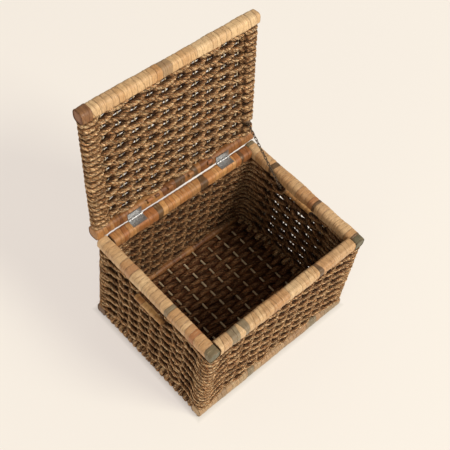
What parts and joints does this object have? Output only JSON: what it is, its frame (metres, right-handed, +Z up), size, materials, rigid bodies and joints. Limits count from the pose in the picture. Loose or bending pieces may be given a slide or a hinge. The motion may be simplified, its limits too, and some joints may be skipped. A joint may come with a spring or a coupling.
{
  "type": "wicker storage trunk",
  "caption": "Rectangular trunk of woven rope on bark wrapped rails, with a hinged lid held open by a chain and a hand slot in each side.",
  "frame": {"origin": "centre of the flat underside of the base rails", "axes": "+X to the right along the hinge line, -Y towards the front, +Z up"},
  "size_m": [0.303, 0.2797, 0.4172],
  "materials": {
    "bark_wrap": "dry striped bark strips, satin",
    "timber": "raw",
    "stakes": "raw reed",
    "wall_rope": "twisted dry grass",
    "lid_rope": "twisted dry grass",
    "floor_rope": "dark twisted dry grass",
    "hinge_steel": "dull plated",
    "chain_metal": "dark bronzed"
  },
  "bodies": {
    "box": {"rim_front_pole": "timber", "rim_back_pole": "timber", "rim_left_pole": "timber", "rim_right_pole": "timber", "rim_front_wrap": "bark_wrap", "rim_back_wrap": "bark_wrap", "rim_left_wrap": "bark_wrap", "rim_right_wrap": "bark_wrap", "corner_post_front_left": "timber", "corner_post_front_right": "timber", "corner_post_back_left": "timber", "corner_post_back_right": "timber", "base_front_pole": "timber", "base_back_pole": "timber", "base_front_wrap": "bark_wrap", "base_back_wrap": "bark_wrap", "base_left_pole": "timber", "base_right_pole": "timber", "handle_left_bar": "timber", "handle_right_bar": "timber", "handle_left_wrap": "bark_wrap", "handle_right_wrap": "bark_wrap", "stakes_front": "stakes", "stakes_back": "stakes", "stakes_left": "stakes", "stakes_right": "stakes", "wall_course_1": "wall_rope", "wall_course_2": "wall_rope", "wall_course_3": "wall_rope", "wall_course_4": "wall_rope", "wall_course_5": "wall_rope", "wall_course_6": "wall_rope", "wall_top_front": "wall_rope", "wall_top_back": "wall_rope", "floor_stakes": "stakes", "floor_ropes": "floor_rope", "hinge_leaf_box_left": "hinge_steel", "hinge_leaf_box_right": "hinge_steel", "hinge_pins": "hinge_steel", "box_screws": "hinge_steel", "chain_anchor": "chain_metal"},
    "lid": {"lid_front_pole": "timber", "lid_back_pole": "timber", "lid_front_wrap": "bark_wrap", "lid_back_wrap": "bark_wrap", "lid_left_bar": "timber", "lid_right_bar": "timber", "lid_stakes": "stakes", "lid_ropes": "lid_rope", "hinge_leaf_lid_left": "hinge_steel", "hinge_leaf_lid_right": "hinge_steel", "lid_screws": "hinge_steel", "chain_eye": "chain_metal"},
    "chain_1": {"chain_1": "chain_metal"},
    "chain_2": {"chain_2": "chain_metal"},
    "chain_3": {"chain_3": "chain_metal"},
    "chain_4": {"chain_4": "chain_metal"},
    "chain_5": {"chain_5": "chain_metal"},
    "chain_6": {"chain_6": "chain_metal"},
    "chain_7": {"chain_7": "chain_metal"}
  },
  "joints": [
    {"name": "lid_hinge", "type": "hinge", "parent": "box", "child": "lid", "pos_m": [0, 0.1142, 0.1887], "axis": [1, 0, 0], "range_deg": [0, 97.3]},
    {"name": "chain_swing_1", "type": "hinge", "parent": "lid", "child": "chain_1", "pos_m": [0.1378, 0.11954, 0.2233], "axis": [0, 0.509, -0.8608], "range_deg": [0, 85.22]},
    {"name": "chain_swing_2", "type": "hinge", "parent": "chain_1", "child": "chain_2", "pos_m": [0.13677, 0.11081, 0.21814], "axis": [0, 0.509, -0.8608], "range_deg": [-91, 0]},
    {"name": "chain_swing_3", "type": "hinge", "parent": "chain_2", "child": "chain_3", "pos_m": [0.13522, 0.09757, 0.21031], "axis": [0.9949, -0.0867, -0.0513], "range_deg": [-84.48, 0]},
    {"name": "chain_swing_4", "type": "hinge", "parent": "chain_3", "child": "chain_4", "pos_m": [0.13381, 0.08563, 0.20325], "axis": [0.9949, -0.0867, -0.0513], "range_deg": [-42.68, 0]},
    {"name": "chain_swing_5", "type": "hinge", "parent": "chain_4", "child": "chain_5", "pos_m": [0.13211, 0.07111, 0.19466], "axis": [0.9949, -0.0867, -0.0513], "range_deg": [-85.26, 0]},
    {"name": "chain_swing_6", "type": "hinge", "parent": "chain_5", "child": "chain_6", "pos_m": [0.1307, 0.05917, 0.1876], "axis": [0.9949, -0.0867, -0.0513], "range_deg": [0, 79.4]},
    {"name": "chain_swing_7", "type": "hinge", "parent": "chain_6", "child": "chain_7", "pos_m": [0.12899, 0.04465, 0.17901], "axis": [0.9949, -0.0867, -0.0513], "range_deg": [0, 47.74]}
  ],
  "couplings": [
    {"joint": "chain_swing_1", "follows": "lid_hinge", "ratio": 0.86558},
    {"joint": "chain_swing_2", "follows": "lid_hinge", "ratio": -0.92497},
    {"joint": "chain_swing_3", "follows": "lid_hinge", "ratio": -0.85799},
    {"joint": "chain_swing_4", "follows": "lid_hinge", "ratio": -0.42833},
    {"joint": "chain_swing_5", "follows": "lid_hinge", "ratio": -0.86603},
    {"joint": "chain_swing_6", "follows": "lid_hinge", "ratio": 0.80579},
    {"joint": "chain_swing_7", "follows": "lid_hinge", "ratio": 0.48041}
  ]
}
